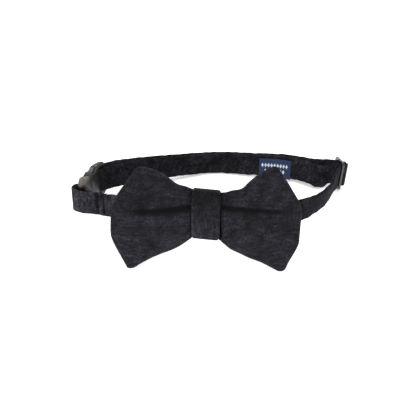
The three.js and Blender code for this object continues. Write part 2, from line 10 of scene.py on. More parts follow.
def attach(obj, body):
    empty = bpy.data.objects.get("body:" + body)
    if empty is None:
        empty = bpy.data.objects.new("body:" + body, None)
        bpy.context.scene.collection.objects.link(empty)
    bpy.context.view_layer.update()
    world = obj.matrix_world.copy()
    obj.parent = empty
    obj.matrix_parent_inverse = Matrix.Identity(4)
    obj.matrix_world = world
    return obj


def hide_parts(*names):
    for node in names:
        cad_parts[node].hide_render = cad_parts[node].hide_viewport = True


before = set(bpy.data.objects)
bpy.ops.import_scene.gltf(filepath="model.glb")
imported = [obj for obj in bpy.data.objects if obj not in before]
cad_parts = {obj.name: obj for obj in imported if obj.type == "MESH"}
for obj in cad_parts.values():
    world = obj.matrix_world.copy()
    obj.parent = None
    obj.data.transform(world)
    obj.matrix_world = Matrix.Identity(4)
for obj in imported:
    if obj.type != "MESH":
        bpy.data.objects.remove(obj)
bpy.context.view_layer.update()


# The strap. One long band of black velvet, folded to two layers and pressed flat. It is sewn round
# the slider's middle bar, runs round the socket's bar and back, is woven through the slider, and
# passes behind the bow to its other sewn end, which is folded round the buckle's prong bar.
LOOP_HALF_WIDTH, LOOP_DEPTH = 90.0, 80.0
STRAP_WIDTH, STRAP_THICKNESS, PRESSED_THICKNESS = 15.0, 2.4, 1.2
CLOTH_GAP, BAR_GAP, SLOT_PLAY = 0.3, 0.4, 0.6
OUTER_PLY_LIFT, FOLD_SLACK, FOLD_BULGE, FOLD_BLEND = 1.5, 3.0, 3.4, 15.0
SEWN_END_LENGTH, RAW_END, SEWN_SLIDER_END_DEG = 19.4, 4.8, 20.0
RAW_END_LIFT, LIFT_FROM, LIFT_RUN = 1.7, 5.0, 16.0
SEWING_SET_IN, SEWING_REACH, SEWING_SQUEEZE = 1.2, 1.3, 0.35
# How far the inner ply has slipped down, and where it has slipped most and how far that reaches
SLIDER_SLIP, SLIP_AT, SLIDER_SAG, SAG_AT, SOCKET_SLIP, FAR_AT = 1.1, (24, 17), 3.7, (7, 7.5), 0.9, (14, 12)
SAG_FROM, SAG_RUN = -4, 7
PLY_BLEND, ROUTE_STEP, BAR_STEP_DEG = 9.0, 4.0, 22.0
BUCKLE_LENGTH, BUCKLE_BAR, SOCKET_BAR_SET_IN, SLIDER_BAR = 38.0, 2.4, 5.0, 1.8
LOOSE_RISE, LOOSE_THICKNESS = 1.7, 2.0
# Share of the half width across, share of the depth back, and lean of the top edge in degrees
FRONT_WAY = np.array([
    (-0.8, 0.115, 8), (-0.672, 0.04, 1), (-0.333, 0.032, 0), (0, 0, 0), (0.333, -0.018, 1),
    (0.611, -0.038, 7), (0.76, 0.103, 15), (0.856, 0.275, 15), (0.917, 0.469, 10)])
BACK_WAY = np.array([
    (0.833, 0.815, 9), (0.611, 0.928, 9), (0.356, 0.967, 2), (0.067, 1.005, -11),
    (-0.2, 0.94, -8), (-0.478, 0.833, 8), (-0.689, 0.731, 15)])
KNOT_ROW = 3
UP = np.array([0.0, 0.0, 1.0])
# Sizes are millimetres in the collar's own axes: x across, y away from the bow and z up the strap's
# width, from a place in the strap behind the knot. This turn and shift stand the collar on the
# table, on the two lower corners of its bow and on the back of its strap.
REST_TURN = np.array([-0.17304327, 0.01658784, 0.0, 0.98477453])
REST_SHIFT = np.array([-5.014010, -28.685674, 35.472472])


def turned(vectors):
    """Vectors of the collar's axes in the floor's axes: v + 2 w (q x v) + 2 q x (q x v)."""
    q, w = REST_TURN[:3], REST_TURN[3]
    once = np.cross(q, vectors)
    return vectors + 2 * w * once + 2 * np.cross(q, once)


def on_floor(points):
    """Points in the collar's millimetres as metres on the floor."""
    return (turned(np.asarray(points, float)) + REST_SHIFT) / 1000


def unit(vectors):
    return vectors / np.linalg.norm(vectors, axis=-1, keepdims=True)


def ease(x):
    x = np.clip(x, 0, 1)
    return x * x * (3 - 2 * x)


def mix(a, b, share):
    return a + (b - a) * share


def bell(x, middle, width):
    return np.exp(-((x - middle) / width) ** 2)


def smooth_way(points, at):
    """The curve through rows of numbers, at places counted in rows from the first. Between two rows
    it is the cubic whose end slopes come from the three chords there, weighed by the roots of their
    lengths."""
    ends = (2 * points[:1] - points[1:2], 2 * points[-1:] - points[-2:-1])
    rows = np.concatenate((ends[0], points, ends[1]))
    span = np.clip(np.floor(at).astype(int), 0, len(points) - 2)
    t = (at - span).reshape(-1, *[1] * (points.ndim - 1))
    a, b, c, d = (rows[span + k] for k in range(4))
    ab, bc, cd = (np.sqrt(np.maximum(np.linalg.norm(q - p, axis=-1, keepdims=True), 1e-9))
                  for p, q in ((a, b), (b, c), (c, d)))
    leave = ((b - a) / ab - (c - a) / (ab + bc) + (c - b) / bc) * bc
    enter = ((c - b) / bc - (d - b) / (bc + cd) + (d - c) / cd) * bc
    return ((2 * t ** 3 - 3 * t ** 2 + 1) * b + (t ** 3 - 2 * t ** 2 + t) * leave
            + (3 * t ** 2 - 2 * t ** 3) * c + (t ** 3 - t ** 2) * enter)


def slope(points, at, reach=1e-4):
    low, high = np.maximum(at - reach, 0), np.minimum(at + reach, len(points) - 1)
    return unit(smooth_way(points, high) - smooth_way(points, low))


def axes_for(position, along, up):
    """Axes at places of the strap: along it, outward from the neck, and up its width."""
    return {"position": position, "along": along, "up": up, "out": unit(np.cross(along, up))}


def spot(axes, a, n, z=0.0):
    """The points that lie a along, n outward and z up from the axes' own positions."""
    a, n, z = (np.asarray(v, float)[..., None] for v in (a, n, z))
    return axes["position"] + a * axes["along"] + n * axes["out"] + z * axes["up"]


def leaning_up(along, lean_deg):
    lean = np.radians(lean_deg)[..., None]
    return np.cos(lean) * UP + np.sin(lean) * unit(np.cross(along, UP))


def hardware_axes(across, back, heading_deg, lean_deg):
    heading = np.radians(heading_deg)
    along = np.array([np.cos(heading), np.sin(heading), 0.0])
    middle = np.array([across * LOOP_HALF_WIDTH, back * LOOP_DEPTH, 0.0])
    return axes_for(middle, along, leaning_up(along, np.asarray(lean_deg, float)))


def stretch(first, first_up, way, last, last_up):
    """Stations every few millimetres on the smooth way, each with its axes and its distance s."""
    points = np.vstack((first, way * (LOOP_HALF_WIDTH, LOOP_DEPTH, 0), last))
    inner = np.arange(1.0, len(points) - 1)
    ups = np.vstack((first_up, leaning_up(slope(points, inner), way[:, 2]), last_up))
    steps = np.ceil(np.linalg.norm(np.diff(points, axis=0), axis=1) / ROUTE_STEP).astype(int)
    at = np.concatenate([[0.0]] + [i + np.arange(1, n + 1) / n for i, n in enumerate(steps)])
    position = smooth_way(points, at)
    span = np.clip(np.ceil(at).astype(int) - 1, 0, len(points) - 2)
    share = ease(at - span)[:, None]
    axes = axes_for(position, slope(points, at), unit(mix(ups[span], ups[span + 1], share)))
    chords = np.linalg.norm(np.diff(position, axis=0), axis=1)
    return {**axes, "s": np.concatenate(([0.0], np.cumsum(chords))), "at": at}


def picked(axes, which):
    return {key: axes[key][which] for key in ("position", "along", "up", "out")}


slim_ply = PRESSED_THICKNESS / 2
slider_wrap = SLIDER_BAR / 2 + BAR_GAP + slim_ply
slider_over_wrap = slider_wrap + PRESSED_THICKNESS + CLOTH_GAP
buckle_wrap = BUCKLE_BAR / 2 + BAR_GAP + slim_ply
slider_pitch = slider_wrap + slider_over_wrap + SLOT_PLAY
buckle_pitch = BUCKLE_LENGTH - BUCKLE_BAR
slim_pair = (PRESSED_THICKNESS + CLOTH_GAP) / 2
full_pair = (STRAP_THICKNESS + CLOTH_GAP) / 2
slider_axes = hardware_axes(across=0.992, back=0.743, heading_deg=103, lean_deg=7)
buckle_axes = hardware_axes(across=-0.843, back=0.441, heading_deg=258, lean_deg=1)
socket_bar_x = SOCKET_BAR_SET_IN - buckle_pitch / 2
socket_bar = spot(buckle_axes, socket_bar_x, 0)
prong_bar = spot(buckle_axes, buckle_pitch / 2, 0)
back_run = stretch(spot(slider_axes, slider_pitch, -slider_wrap - slim_pair), slider_axes["up"],
                       BACK_WAY, socket_bar, buckle_axes["up"])
front_run = stretch(prong_bar, buckle_axes["up"], FRONT_WAY,
                        spot(slider_axes, -slider_pitch, -slider_wrap), slider_axes["up"])
knot_axes = picked(front_run, int(np.argmin(np.abs(front_run["at"] - (KNOT_ROW + 1)))))


def ply(axes, a, n, z, thickness):
    """Rows of the strap: the ply's middle, its up axis and its thickness."""
    middle = np.atleast_2d(spot(axes, a, n, z))
    up = np.broadcast_to(axes["up"], middle.shape)
    thick = np.broadcast_to(np.asarray(thickness, float).reshape(-1, 1), (len(middle), 1))
    return np.hstack((middle, up, thick))


def round_bar(axes, a, radius, from_deg, to_deg, slack=0.0, bulge=0.0):
    """A turn round a bar: 0 degrees is along the strap and 90 is outward."""
    steps = int(np.ceil(abs(to_deg - from_deg) / BAR_STEP_DEG))
    turn = np.radians(np.linspace(from_deg, to_deg, steps + 1))
    outward = (radius + np.where(np.sin(turn) > 1e-9, bulge, 0)) * np.sin(turn)
    return ply(axes, a + (radius + slack) * np.cos(turn), outward, 0, PRESSED_THICKNESS)


def loose_arch(climb_deg):
    """The loose arch over the slider's middle bar, thickest at its crown."""
    steps = int(np.ceil(2 * climb_deg / BAR_STEP_DEG))
    share = np.linspace(0, 1, steps + 1)
    turn = np.radians(mix(90 - climb_deg, 90 + climb_deg, share))
    return ply(slider_axes, slider_over_wrap * np.cos(turn), (slider_over_wrap + LOOSE_RISE) * np.sin(turn),
               0, mix(PRESSED_THICKNESS, LOOSE_THICKNESS, np.sin(np.pi * share)))


def inner_drop(s):
    """How far the inner ply has slipped down beside the outer one, s from the slider: a slip at each
    end that fades as a bell, and a sag that runs in at the slider and fades past its own middle."""
    sag = SLIDER_SAG * ease((s - SAG_FROM) / SAG_RUN) * bell(np.maximum(s, SAG_AT[0]), *SAG_AT)
    return SLIDER_SLIP * bell(s, *SLIP_AT) + sag + SOCKET_SLIP * bell(back_run["s"][-1] - s, *FAR_AT)


def ends_of(way):
    """Two shares along a stretch: one eases up from 0 at its start, the other from 0 at its end."""
    return ease(way["s"] / PLY_BLEND), ease((way["s"][-1] - way["s"]) / PLY_BLEND)


def ply_between(way, n, z, upto=np.inf):
    """Rows of a ply along a stretch, which is pressed thin at both ends."""
    s = way["s"]
    keep = (s > ROUTE_STEP / 3) & (s < min(s[-1] - ROUTE_STEP / 3, upto))
    thick = mix(PRESSED_THICKNESS, STRAP_THICKNESS, np.minimum(*ends_of(way)))
    return ply(picked(way, keep), 0, n[keep], z[keep], thick[keep])


def back_ply(side):
    """One of the two plies along the back, from the slider's far bar to the socket."""
    s = back_run["s"]
    from_slider, from_socket = ends_of(back_run)
    n = mix(buckle_wrap, mix(slim_pair, full_pair, from_slider), from_socket)
    lift = OUTER_PLY_LIFT * from_socket * ease(2 * s / s[-1] - 1) if side > 0 else -inner_drop(s)
    return ply_between(back_run, side * n, lift)


def raw_end_lift(s):
    """How much higher the folded end stands than the ply under it, s from the buckle's bar."""
    return RAW_END_LIFT * ease((s - LIFT_FROM) / LIFT_RUN)


def front_ply(side, upto=np.inf):
    """The front: two plies beside the prong bar, and one from the raw edge on."""
    s = front_run["s"]
    single = ease((s - SEWN_END_LENGTH - RAW_END) / PLY_BLEND) if side < 0 else 0 * s
    lift = raw_end_lift(s) if side > 0 else 0 * s
    loose_fold = FOLD_BULGE * (1 - ease(s / FOLD_BLEND)) if side > 0 else 0
    n = mix(mix(buckle_wrap, full_pair, ends_of(front_run)[0]) + loose_fold, 0, single)
    return ply_between(front_run, side * n, lift, upto)


def axes_at(way, s):
    """The axes of a stretch at distances from its start."""
    at = np.interp(s, way["s"], np.arange(len(way["s"])))
    return axes_for(smooth_way(way["position"], at), unit(smooth_way(way["along"], at)),
                    unit(smooth_way(way["up"], at)))


climb_deg = np.degrees(np.arcsin((slider_wrap + slider_over_wrap) / slider_pitch))
socket_end = {**picked(back_run, -1), "up": buckle_axes["up"]}
prong_end = {**picked(front_run, 0), "up": buckle_axes["up"]}
# The parts of the strap in their order: the rows, the painted light and shade at the part's start and end,
# lighter where lit and darker in shade, and how uneven its edges are at its start and end
ARCH_PART = 6
strap_parts = (
    (round_bar(slider_axes, 0, slider_wrap, SEWN_SLIDER_END_DEG, 270), 1.0, 1.0, 0.2, 0.2),
    (ply(slider_axes, slider_pitch, -slider_wrap - 2 * slim_pair, -inner_drop(0), PRESSED_THICKNESS),
     1.0, 1.0, 0.2, 0.2),
    (back_ply(-1), 1.2, 0.62, 1.3, 0.4),
    (round_bar(socket_end, 0, buckle_wrap, -90, 90), 0.8, 0.8, 0.2, 0.2),
    (back_ply(1)[::-1], 0.95, 1.1, 0.6, 0.9),
    (round_bar(slider_axes, slider_pitch, slider_wrap, 270, 270 - climb_deg), 1.0, 1.0, 0.2, 0.2),
    (loose_arch(climb_deg), 1.0, 1.0, 0.4, 0.4),
    (round_bar(slider_axes, -slider_pitch, slider_wrap, 270 + climb_deg, 270), 1.0, 1.0, 0.2, 0.2),
    (front_ply(-1)[::-1], 0.75, 2.2, 1.4, 0.8),
    (round_bar(prong_end, 0, buckle_wrap, 270, 90, FOLD_SLACK, FOLD_BULGE), 1.5, 2.5, 0.3, 0.3),
    (front_ply(1, SEWN_END_LENGTH + RAW_END), 2.8, 2.0, 0.4, 1.1))
strap_rows = np.vstack([part[0] for part in strap_parts])
strap_feel = np.vstack([np.linspace(part[1::2], part[2::2], len(part[0])) for part in strap_parts])
ROWS_PER_STEP = 4
fine_at = np.linspace(0, len(strap_rows) - 1, ROWS_PER_STEP * (len(strap_rows) - 1) + 1)
fine_rows = smooth_way(strap_rows, fine_at)
fine_painted_light, fine_unevenness = (np.interp(fine_at, np.arange(len(strap_rows)), feel) for feel in strap_feel.T)
on_fold = np.arange(len(fine_rows)) >= ROWS_PER_STEP * (len(strap_rows) - len(strap_parts[-1][0]))
from_bar = np.linalg.norm(fine_rows[:, :3] - prong_bar, axis=1)
at_sewing = on_fold * bell(from_bar, SEWN_END_LENGTH - SEWING_SET_IN, SEWING_REACH)
fine_rows[:, 6] *= 1 - SEWING_SQUEEZE * at_sewing
FACE_POINTS, EDGE_POINTS = 13, 7
# The lengths and phases of the slow waves in a tape's faces and along its edges, and how far the
# waves of the two edges are shifted
FACE_WAVES, FACE_SHIFT = ((11, 17, 29), (0.3, 2.0, 4.4)), 2.5
EDGE_WAVES, EDGE_SHIFT = ((5.3, 7.9, 13), (1.0, 3.1, 5.0)), 4.0


def waves(s, lengths, phases):
    """A slow ripple: the mean of sines of these lengths and phases."""
    sines = [np.sin(2 * np.pi * s / length + phase) for length, phase in zip(lengths, phases)]
    return np.mean(sines, axis=0)


def tape_grid(rows, width, ripple=0.0, scallop=0.0):
    """A flat tape carried along rows of middle, up axis and thickness: its section has flat faces and
    round edges. The faces sway by ripple and the two edges rise and fall by scallop, in millimetres.
    Width, ripple and scallop may change along the tape."""
    width, ripple, scallop = (np.broadcast_to(v, len(rows))[:, None] for v in (width, ripple, scallop))
    middle, up, thick = rows[:, :3], unit(rows[:, 3:6]), rows[:, 6:7]
    along = unit(np.gradient(middle, axis=0))
    out = unit(np.cross(along, up))
    s = np.concatenate(([0.0], np.cumsum(np.linalg.norm(np.diff(middle, axis=0), axis=1))))[:, None]
    turn = np.linspace(0, np.pi, EDGE_POINTS)
    face = np.linspace(-1, 1, FACE_POINTS)[1:-1]
    # points of half the section: the place on the width's flat part, the reach past it, and the side
    half = np.hstack(([0 * turn + 1, np.sin(turn), -np.cos(turn)], [-face, 0 * face, 0 * face + 1]))
    flat, past, side = np.hstack((half, -half))
    z = flat * (width - thick) / 2 + past * thick / 2
    n = side * thick / 2
    toward_edge = np.abs(2 * z / width) ** 3
    n = n + ripple * toward_edge * waves(s + FACE_SHIFT * np.sign(z), *FACE_WAVES)
    z = z + scallop * np.sign(z) * toward_edge * waves(s + EDGE_SHIFT * np.sign(z), *EDGE_WAVES)
    grid = middle[:, None] + z[..., None] * up[:, None] + n[..., None] * out[:, None]
    return grid, s + 0 * z, z


PRESSED_ON_TABLE = 0.0006


def in_scene(name, data):
    thing = bpy.data.objects.new(name, data)
    bpy.context.scene.collection.objects.link(thing)
    return thing


def made_piece(name, points, faces, material):
    """An object at the origin whose mesh has these points, in the collar's millimetres, and faces.
    What lies lower than h = PRESSED_ON_TABLE over the table is pressed up to h exp(z / h - 1)."""
    mesh = bpy.data.meshes.new(name)
    places = on_floor(points)
    low = np.minimum(places[:, 2] / PRESSED_ON_TABLE, 1)
    places[:, 2] = np.maximum(places[:, 2], PRESSED_ON_TABLE * np.exp(low - 1))
    mesh.from_pydata(places, [], faces)
    mesh.materials.append(material)
    mesh.validate()
    shell = bmesh.new()
    shell.from_mesh(mesh)
    bmesh.ops.recalc_face_normals(shell, faces=shell.faces)
    shell.to_mesh(mesh)
    shell.free()
    mesh.shade_smooth()
    return in_scene(name, mesh)


def walls(index):
    """Faces between rows of point numbers, where each row goes round."""
    after = np.roll(index, -1, axis=-1)
    corners = (index[..., :-1, :], after[..., :-1, :], after[..., 1:, :], index[..., 1:, :])
    return np.stack(corners, axis=-1).reshape(-1, 4).tolist()


def loops_to_piece(name, grid, material, capped=True):
    """A piece from a grid of points whose rows go round: each row is joined to the next, and the
    first and last are closed across."""
    index = np.arange(grid.size // 3).reshape(grid.shape[:2])
    ends = index[[0, -1]].tolist() if capped else []
    return made_piece(name, grid.reshape(-1, 3), walls(index) + ends, material)


def new_material(name):
    """A material, its node tree and its shader."""
    material = bpy.data.materials.new(name)
    material.use_nodes = True
    return material, material.node_tree, material.node_tree.nodes["Principled BSDF"]


def feed(tree, node, inputs):
    """Fills a node's inputs: each with a number, a colour or another node's output."""
    for name, value in inputs.items():
        if isinstance(value, bpy.types.NodeSocket):
            tree.links.new(value, node.inputs[name])
        else:
            node.inputs[name].default_value = value


def added(tree, kind, inputs, **settings):
    """A new node with these inputs and settings."""
    node = tree.nodes.new("ShaderNode" + kind)
    for name, value in settings.items():
        setattr(node, name, value)
    feed(tree, node, inputs)
    return node


def noise_ramp(tree, place, scale, low, high, detail=3.0):
    """Noise of a scale per unit of place, its middle drawn out between two greys."""
    noise = added(tree, "TexNoise", {"Vector": place, "Scale": scale, "Detail": detail})
    spread = {"From Min": 0.3, "From Max": 0.7, "To Min": low, "To Max": high}
    return added(tree, "MapRange", {"Value": noise.outputs["Fac"], **spread}).outputs["Result"]


def times(tree, first, second):
    return added(tree, "Math", {0: first, 1: second}, operation="MULTIPLY").outputs[0]


def mixed(tree, share, first, second):
    """A colour as far from the first to the second as the share says, and past it where that is over 1."""
    inputs = {"Factor": share, "A": first, "B": second}
    return added(tree, "Mix", inputs, data_type="RGBA", clamp_factor=False).outputs["Result"]


def bumped(tree, shader, height, strength, distance):
    relief = added(tree, "Bump", {"Height": height, "Strength": strength, "Distance": distance})
    feed(tree, shader, {"Normal": relief.outputs["Normal"]})


def velvet(name, light, streak, sheen=0.1, gloss=0.1):
    """Short black pile: patches where its pile lies the other way, streaks drawn out by streak, a
    grain of tufts, a sheen on what turns away, a trace of gloss, and light and shade painted into
    its colour from the piece's attribute."""
    material, tree, shader = new_material(name)
    place = added(tree, "TexCoord", {}).outputs["Object"]
    drawn = added(tree, "Mapping", {"Vector": place, "Scale": streak}).outputs["Vector"]
    patches = noise_ramp(tree, place, 120, 0.5, 1.5)
    streaks = noise_ramp(tree, drawn, 480, 0.4, 1.6, detail=4)
    tufts = noise_ramp(tree, place, 1100, 0.3, 1.7, detail=2)
    # light and shade painted into the colour, read from the piece's attribute
    painted_light_factor = added(tree, "Attribute", {}, attribute_name="painted_light").outputs["Fac"]
    shade = times(tree, times(tree, times(tree, patches, streaks), tufts), painted_light_factor)
    feed(tree, shader, {
        "Base Color": mixed(tree, shade, (*BLACK_PILE, 1), (*light, 1)), "Roughness": 0.85,
        "Specular IOR Level": gloss, "Sheen Weight": sheen, "Sheen Roughness": 0.35,
        "Sheen Tint": (0.4, 0.385, 0.49, 1)})
    bumped(tree, shader, noise_ramp(tree, place, 1700, 0, 1), 0.6, 0.0003)
    return material


def set_shade(mesh, name, shade):
    """Gives each point a number its material reads; for painted light, 1 leaves the colour as it is."""
    numbers = mesh.attributes.new(name, "FLOAT", "POINT")
    numbers.data.foreach_set("value", np.ascontiguousarray(shade, np.float32).ravel())


PILE, UNEVENNESS = 0.4, 0.3
ARCH_SPREAD, CROWN_PULL = 2.6, 4.4
# Painted shade: on the front beside the bow, in the groove at the sewing, and on the fold by its raw edge
FRONT_DARK, FRONT_X, FRONT_REACH, FRONT_END_Y, FRONT_FADE = 0.3, 68, 17, 50, 20
SEWING_DARK, FOLD_SHADE_DARK, FOLD_SHADE_AT, FOLD_SHADE_REACH = 0.8, 0.4, 14, 3
BLACK_PILE = (0.001, 0.001, 0.0012)
strap_velvet = velvet("strap_velvet", (0.0125, 0.0119, 0.0148), (0.8, 1, 0.6), sheen=0.06, gloss=0.03)
# the loose arch spreads a little where it leaves the slider, and its edges pull in at its crown
steps_before_arch = sum(len(part[0]) for part in strap_parts[:ARCH_PART])
arch_steps = len(strap_parts[ARCH_PART][0]) - 1
arch_share = (np.arange(len(fine_rows)) / ROWS_PER_STEP - steps_before_arch) / arch_steps
arch_height = np.sin(np.pi * np.clip(arch_share, 0, 1))
strap_width = STRAP_WIDTH + PILE + ARCH_SPREAD * arch_height ** 2 - CROWN_PULL * arch_height ** 8
edges_by = UNEVENNESS * fine_unevenness
strap_grid, _, strap_z = tape_grid(fine_rows, strap_width, edges_by, edges_by)
velvet_strap = loops_to_piece("velvet_strap", strap_grid, strap_velvet)
strap_x, strap_y = fine_rows[:, 0], fine_rows[:, 1]
# painted shade on the front beside the bow
shade_by_the_bow = bell(strap_x, FRONT_X, FRONT_REACH) * ease((FRONT_END_Y - strap_y) / FRONT_FADE)
# painted shade on the fold near its raw edge
pressed = on_fold * bell(from_bar, FOLD_SHADE_AT, FOLD_SHADE_REACH)
# the painted shade beside the bow, in the groove at the sewing and on the fold darkens the colour
fine_painted_light = fine_painted_light * (1 - FRONT_DARK * shade_by_the_bow) * (1 - SEWING_DARK * at_sewing - FOLD_SHADE_DARK * pressed)
set_shade(velvet_strap.data, "painted_light", fine_painted_light[:, None] + 0 * strap_z)
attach(velvet_strap, "root")
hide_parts("collar_strap")


# The sewing on the strap: a zigzag of black thread that holds the folded end down, set in a little
# from the raw edge, and the cut threads that stand out of that edge.
STITCH_RADIUS, STITCH_RISE = 0.2, 0.22
THREAD_STEPS, THREAD_SIDES = 9, 8
ZIGZAG_POINTS, ZIGZAG_HALF_WIDTH, ZIGZAG_SET_IN, ZIGZAG_STEP, ZIGZAG_SUNK = 15, 6.9, 1.6, 0.9, 0.3
# Threads stand out along the raw edge, and longer ones at its upper corner. FRAY_WAY is the least
# and most that a thread runs across, back and up.
EDGE_THREADS, CORNER_THREADS, EDGE_HALF_WIDTH = 26, 12, 7.2
FRAY_SET_IN, FRAY_SUNK, FRAY_RADIUS = 0.4, 0.6, 0.13
FRAY_WAY = ((0.3, 1.0), (-0.3, 0.5), (-0.5, 0.5))
CORNER_Z, CORNER_SPREAD, CORNER_STRETCH, CORNER_RISE = (6.6, 7.6), 4, (1.6, 1.0, 1.0), (0, 0, 0.9)


def threads(name, starts, ends, rise, radius, material):
    """Short threads, each an arch from its start to its end that rises by its own vector in the
    middle, as a round tube that thins towards both ends."""
    t = np.linspace(0, 1, THREAD_STEPS)[None, :, None]
    way = mix(starts[:, None], ends[:, None], t) + 4 * t * (1 - t) * rise[:, None]
    along = unit(np.gradient(way, axis=1))
    side = unit(np.cross(along, rise[:, None] + 1e-6))
    turn = np.linspace(0, 2 * np.pi, THREAD_SIDES, endpoint=False)[None, None, :, None]
    thick = radius * np.sqrt(np.clip(1 - (2 * t - 1) ** 6, 0.02, 1))[..., None]
    around = np.cos(turn) * side[:, :, None] + np.sin(turn) * np.cross(along, side)[:, :, None]
    rings = way[:, :, None] + thick * around
    index = np.arange(rings.size // 3).reshape(rings.shape[:3])
    tips = np.vstack((index[:, 0], index[:, -1])).tolist()
    piece = made_piece(name, rings.reshape(-1, 3), walls(index) + tips, material)
    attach(piece, "root")
    return piece


def cotton(name, dark, light):
    """Twisted sewing thread: fine bands of two shades and a dull, slightly fuzzy surface."""
    material, tree, shader = new_material(name)
    place = added(tree, "TexCoord", {}).outputs["Object"]
    twist = added(tree, "TexWave", {"Vector": place, "Scale": 900, "Distortion": 2}).outputs["Fac"]
    colour = mixed(tree, twist, (*dark, 1), (*light, 1))
    feed(tree, shader, {"Base Color": colour, "Roughness": 0.75, "Specular IOR Level": 0.1})
    bumped(tree, shader, twist, 0.5, 0.0001)
    return material


def outer_face(s, z):
    """Points on the outer face of the folded end, s from the buckle's bar and z up the width."""
    n = (mix(buckle_wrap, full_pair, ease(s / PLY_BLEND)) + FOLD_BULGE * (1 - ease(s / FOLD_BLEND))
         + STRAP_THICKNESS / 2)
    return spot(axes_at(front_run, s), 0, n, z + raw_end_lift(s))


black_cotton = cotton("black_cotton", (0.002, 0.002, 0.0024), (0.012, 0.0115, 0.014))
zigzag_z = np.linspace(-ZIGZAG_HALF_WIDTH, ZIGZAG_HALF_WIDTH, ZIGZAG_POINTS)
zigzag_s = SEWN_END_LENGTH - ZIGZAG_SET_IN + ZIGZAG_STEP * (np.arange(ZIGZAG_POINTS) % 2)
zigzag_out = axes_at(front_run, 0 * zigzag_s + SEWN_END_LENGTH - SEWING_SET_IN)["out"]
zigzag = outer_face(zigzag_s, zigzag_z) - ZIGZAG_SUNK * zigzag_out
end_stitches = threads("end_stitches", zigzag[:-1], zigzag[1:], STITCH_RISE * zigzag_out[1:], STITCH_RADIUS,
                       black_cotton)
frayed = np.random.default_rng(7)
fray_z = np.concatenate((np.linspace(-EDGE_HALF_WIDTH, EDGE_HALF_WIDTH, EDGE_THREADS),
                         frayed.uniform(*CORNER_Z, CORNER_THREADS)))
fray_s = np.full(EDGE_THREADS + CORNER_THREADS, SEWN_END_LENGTH + RAW_END - FRAY_SET_IN)
fray_s[EDGE_THREADS:] -= frayed.uniform(0, CORNER_SPREAD, CORNER_THREADS)
fray_from = outer_face(fray_s, fray_z) - FRAY_SUNK * axes_at(front_run, fray_s)["out"]
fray_way = np.column_stack([frayed.uniform(low, high, len(fray_s)) for low, high in FRAY_WAY])
fray_way[EDGE_THREADS:] = fray_way[EDGE_THREADS:] * CORNER_STRETCH + CORNER_RISE
fray_rise = 0.25 * fray_way[:, [2, 0, 1]]
frayed_edge = threads("frayed_edge", fray_from, fray_from + fray_way, fray_rise, FRAY_RADIUS, black_cotton)


# The bow. Two padded wings of the same velvet, sewn inside out, turned and lightly filled, then
# gathered in the middle so that each wing has one deep pleat and a few small ones beside the band.
BOW_HALF_WIDTH, BOW_PUFF, BOW_BACK = 58.5, 6.2, 2.8
WING_FLARE, WING_ROUNDNESS, PLEAT_DEPTH = 1.6, 0.8, 1.7
GATHER_HEIGHT, GATHER_DEPTH = 27.6, 5.0
BAND_WIDTH, BAND_THICKNESS, BAND_SOFTNESS = 17.4, 2.0, 0.9
BAND_TURN_DEG, BAND_SLANT_DEG, BAND_DROP = 1.4, 3.0, 1.5
# Outlines of the wings seen from the front, across and up from the knot. The top and the foot run
# out from the band to a corner, and the side runs from the foot's corner up to the top's.
LEFT_TOP = np.array([
    (-7.6, 14.5), (-12.5, 16.4), (-17.6, 17.9), (-22.4, 21.6), (-26.7, 24.5), (-30.9, 26.7),
    (-35.1, 28.1), (-38.8, 28.7), (-41.2, 28)])
LEFT_FOOT = np.array([
    (-9.3, -18.2), (-12.4, -20.6), (-16.3, -23.5), (-21.4, -26.4), (-27.9, -29.2), (-34.4, -32.4),
    (-41, -36.4), (-46.3, -40), (-48.4, -40.9)])
LEFT_SIDE = np.array([
    (-48.4, -40.9), (-50.2, -39.7), (-51.3, -37.2), (-54.3, -30.7), (-57.3, -24), (-59.3, -18.2),
    (-59.6, -14.8), (-59.3, -7.8), (-58.7, -0.9), (-57.6, 3.6), (-55.3, 8.8), (-52.3, 13.5),
    (-49, 18), (-45.1, 23.6), (-42.4, 27.2), (-41.2, 28)])
RIGHT_TOP = np.array([
    (9.4, 13), (12, 13.3), (15.1, 14.4), (21.2, 15.9), (25.4, 20.3), (29.6, 24.3), (34.4, 27.9),
    (38.5, 30.2), (41.3, 31)])
RIGHT_FOOT = np.array([
    (7.0, -18.2), (10.6, -21.2), (14.9, -24.8), (21.3, -27.8), (25.8, -30.1), (34.2, -33.3),
    (40.6, -36.7), (45.2, -39.1), (47, -39.3)])
RIGHT_SIDE = np.array([
    (47, -39.3), (48.9, -38), (51.2, -32.4), (54.2, -26.2), (56.3, -21.3), (57.1, -18.1),
    (57.2, -12.6), (57.4, -7.0), (57.8, -2.2), (57.8, 2.5), (57.1, 6.6), (55.6, 9.7), (53, 13.9),
    (49.8, 19.3), (45.9, 25.1), (42.7, 30), (41.3, 31)])
# Fullness of a wing from the band to the seam, and how near the seam its cloth turns down
PUFF_AT, PUFF = (0, 0.1, 0.33, 0.58, 0.82, 1), (0.4, 0.78, 1, 0.95, 0.76, 0.62)
SEAM_TURN, SEAM_EDGE = 0.3, 0.05
BOW_SIDES, WING_RINGS = 72, 64
GATHER_X = np.array([-7.0, -3.5, 0.0, 3.5, 6.6])
strap_clear = STRAP_THICKNESS / 2 + CLOTH_GAP
seam_plane = strap_clear + BOW_BACK
bow_angle = np.pi * np.arange(2 * BOW_SIDES) / BOW_SIDES
bow_v, bow_swell = -np.cos(bow_angle), np.sin(bow_angle)
wing_u = (1 - np.cos(np.pi * np.linspace(0, 1, WING_RINGS))) / 2


def outline(points, share):
    """Places on the smooth curve through the points, at shares of its length."""
    length = np.concatenate(([0.0], np.cumsum(np.linalg.norm(np.diff(points, axis=0), axis=1))))
    return smooth_way(points, np.interp(share, length / length[-1], np.arange(len(points))))


